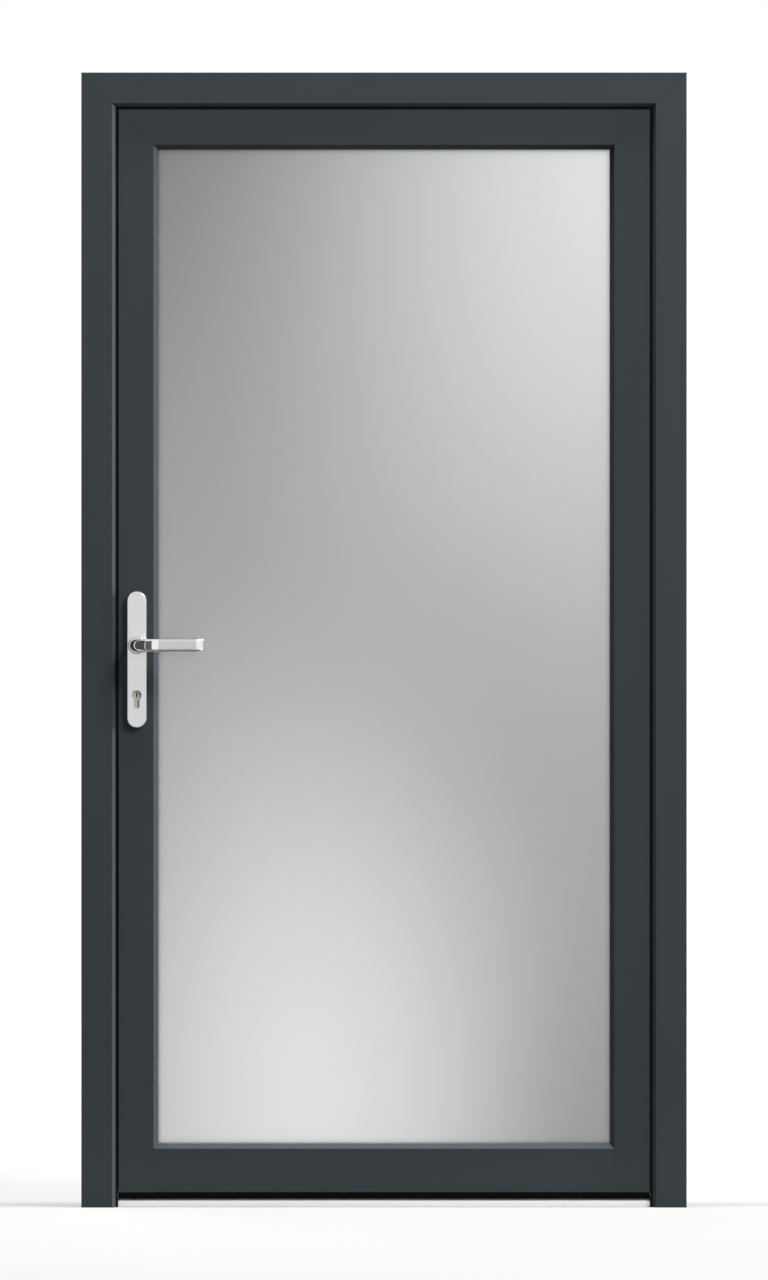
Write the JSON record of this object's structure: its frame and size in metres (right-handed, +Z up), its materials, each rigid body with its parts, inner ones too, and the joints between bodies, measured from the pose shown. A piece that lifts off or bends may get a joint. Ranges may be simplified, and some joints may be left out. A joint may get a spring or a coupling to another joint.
{
  "type": "aluminium entrance door with frame",
  "caption": "Inward-opening glazed aluminium entrance door in its frame, with lever handles on long plates, mortise lock, profile cylinder, hinges and threshold.",
  "frame": {"origin": "on the floor, at the middle of the frame's width and depth, under the threshold", "axes": "+X to the right as seen from outside, towards the hinges; +Y into the house; +Z up"},
  "size_m": [1.12, 0.185, 2.1],
  "materials": {
    "painted_aluminium": "fine-texture matt powder coat, anthracite",
    "painted_hinge": "matt powder coat, anthracite",
    "silver_aluminium": "natural anodised",
    "mill_aluminium": "mill finish",
    "polyamide": "matt black",
    "black_rubber": "matt EPDM",
    "satin_glass": "acid-etched satin",
    "clear_glass": "clear float",
    "stainless_steel": "fine brushed",
    "lock_steel": "zinc plated",
    "nickel": "satin nickel"
  },
  "bodies": {
    "frame": {"frame_head_outer": "painted_aluminium", "frame_head_inner": "painted_aluminium", "frame_lock_jamb_outer": "painted_aluminium", "frame_lock_jamb_inner": "painted_aluminium", "frame_hinge_jamb_outer": "painted_aluminium", "frame_hinge_jamb_inner": "painted_aluminium", "hinge_frame_wing_bottom": "painted_hinge", "hinge_frame_wing_middle": "painted_hinge", "hinge_frame_wing_top": "painted_hinge", "threshold_outer": "silver_aluminium", "threshold_inner": "silver_aluminium", "frame_corner_cleats": "mill_aluminium", "frame_thermal_bars": "polyamide", "threshold_core": "polyamide", "frame_rebate_gasket": "black_rubber", "frame_screws": "stainless_steel", "strike_plate": "stainless_steel", "hinge_pins": "painted_hinge"},
    "handle": {"outer_lever": "stainless_steel", "inner_lever": "stainless_steel", "spindle": "lock_steel", "lock_follower": "lock_steel"},
    "latch": {"latch_bolt": "lock_steel"},
    "deadbolt": {"dead_bolt": "lock_steel"},
    "outer_key_plug": {"outer_plug": "nickel"},
    "inner_key_plug": {"inner_plug": "nickel"},
    "leaf": {"leaf_lock_stile_outer": "painted_aluminium", "leaf_lock_stile_inner": "painted_aluminium", "leaf_hinge_stile_outer": "painted_aluminium", "leaf_hinge_stile_inner": "painted_aluminium", "leaf_top_rail_outer": "painted_aluminium", "leaf_top_rail_inner": "painted_aluminium", "leaf_bottom_rail_outer": "painted_aluminium", "leaf_bottom_rail_inner": "painted_aluminium", "bead_top": "painted_aluminium", "bead_bottom": "painted_aluminium", "bead_lock_side": "painted_aluminium", "bead_hinge_side": "painted_aluminium", "hinge_leaf_wing_bottom": "painted_hinge", "hinge_leaf_wing_middle": "painted_hinge", "hinge_leaf_wing_top": "painted_hinge", "leaf_corner_cleats": "mill_aluminium", "leaf_thermal_bars": "polyamide", "hinge_bushes": "polyamide", "glazing_blocks": "polyamide", "pane_spacer": "polyamide", "leaf_flange_gasket": "black_rubber", "leaf_bottom_seals": "black_rubber", "outer_glazing_gasket": "black_rubber", "inner_glazing_gasket": "black_rubber", "outer_pane": "satin_glass", "inner_pane": "clear_glass", "outer_handle_plate": "stainless_steel", "inner_handle_plate": "stainless_steel", "faceplate": "stainless_steel", "plate_screws": "stainless_steel", "leaf_screws": "stainless_steel", "lock_case": "lock_steel", "latch_spring": "lock_steel", "cylinder_body": "nickel"}
  },
  "joints": [
    {"name": "leaf_swing", "type": "hinge", "parent": "frame", "child": "leaf", "pos_m": [0.5165, 0.05, 1.06], "axis": [0, 0, -1], "range_deg": [0, 100]},
    {"name": "lever_turn", "type": "hinge", "parent": "leaf", "child": "handle", "pos_m": [-0.4575, 0.006, 1.04], "axis": [0, 1, 0], "range_deg": [0, 40], "stiffness_Nm_per_rad": 1.5, "springref_deg": -28.65},
    {"name": "latch_slide", "type": "slide", "parent": "leaf", "child": "latch", "axis": [1, 0, 0], "range_m": [0, 0.013], "deforming": ["latch_spring"]},
    {"name": "cylinder_turn", "type": "hinge", "parent": "leaf", "child": "outer_key_plug", "pos_m": [-0.4575, 0.006, 0.948], "axis": [0, -1, 0], "range_deg": [0, 360]},
    {"name": "deadbolt_throw", "type": "slide", "parent": "leaf", "child": "deadbolt", "axis": [-1, 0, 0], "range_m": [0, 0.02]},
    {"name": "inner_plug_turn", "type": "hinge", "parent": "leaf", "child": "inner_key_plug", "pos_m": [-0.4575, 0.006, 0.948], "axis": [0, -1, 0], "range_deg": [0, 360]}
  ],
  "couplings": [
    {"joint": "latch_slide", "follows": "lever_turn", "m_per_rad": 0.01862},
    {"joint": "cylinder_turn", "follows": "deadbolt_throw", "rad_per_m": 314}
  ]
}
